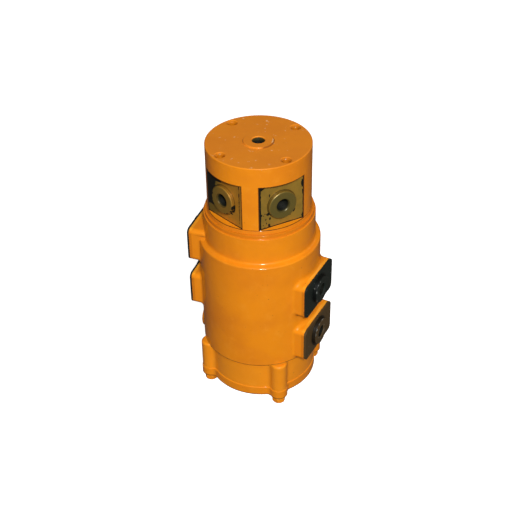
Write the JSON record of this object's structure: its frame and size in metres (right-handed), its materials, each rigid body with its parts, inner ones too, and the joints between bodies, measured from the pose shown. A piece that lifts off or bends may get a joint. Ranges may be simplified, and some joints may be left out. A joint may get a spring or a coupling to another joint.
{
  "type": "hydraulic rotary union",
  "caption": "Hydraulic rotary union: a drilled rotor with side and top ports turns endlessly in a cast housing with port pads and a bolted end cover.",
  "frame": {"origin": "on the axis of rotation, at the flat underside of the end cover; the four bolt heads reach 13 mm below it", "axes": "+Z along the axis of rotation towards the rotor's head, +X towards the side with the two lower port pads"},
  "size_m": [0.2133, 0.1977, 0.4288],
  "materials": {
    "orange_casting": "glossy orange enamel over a machined casting, pads bare and blackened",
    "orange_rotor": "orange enamel, port flats bare with a yellow zinc tint",
    "orange_fasteners": "bolt heads painted over in orange",
    "painted_rubber": "rubber ring painted over in orange",
    "black_rubber": "matt black nitrile",
    "bronze": "turned bearing bronze",
    "guide_plastic": "brown fabric-filled resin",
    "seal_plastic": "filled slippery plastic, blue-green",
    "bare_steel": "turned and oiled",
    "black_steel": "blackened high-tensile steel"
  },
  "bodies": {
    "housing_assembly": {"housing": "orange_casting", "end_cover": "orange_casting", "end_cover_o_ring": "black_rubber", "end_cover_bolts": "orange_fasteners", "end_cover_washers": "orange_fasteners", "end_cover_lock_washers": "orange_fasteners", "upper_bush": "bronze", "lower_bush": "bronze", "shaft_seal": "black_rubber", "upper_thrust_washer": "bronze", "lower_thrust_washer": "bronze", "guide_ring": "guide_plastic", "circuit_seal_1": "seal_plastic", "circuit_seal_2": "seal_plastic", "circuit_seal_3": "seal_plastic", "circuit_seal_4": "seal_plastic", "circuit_seal_5": "seal_plastic", "circuit_seal_6": "seal_plastic", "circuit_seal_7": "seal_plastic", "circuit_seal_8": "seal_plastic", "circuit_seal_energiser_1": "black_rubber", "circuit_seal_energiser_2": "black_rubber", "circuit_seal_energiser_3": "black_rubber", "circuit_seal_energiser_4": "black_rubber", "circuit_seal_energiser_5": "black_rubber", "circuit_seal_energiser_6": "black_rubber", "circuit_seal_energiser_7": "black_rubber", "circuit_seal_energiser_8": "black_rubber"},
    "rotor_assembly": {"rotor": "orange_rotor", "dust_seal": "painted_rubber", "thrust_plate": "bare_steel", "thrust_plate_screws": "black_steel", "gallery_plugs": "black_steel"}
  },
  "joints": [
    {"name": "rotor_spin", "type": "hinge", "parent": "housing_assembly", "child": "rotor_assembly", "pos_m": [0, 0, 0.2], "axis": [0, 0, 1], "continuous": true}
  ]
}
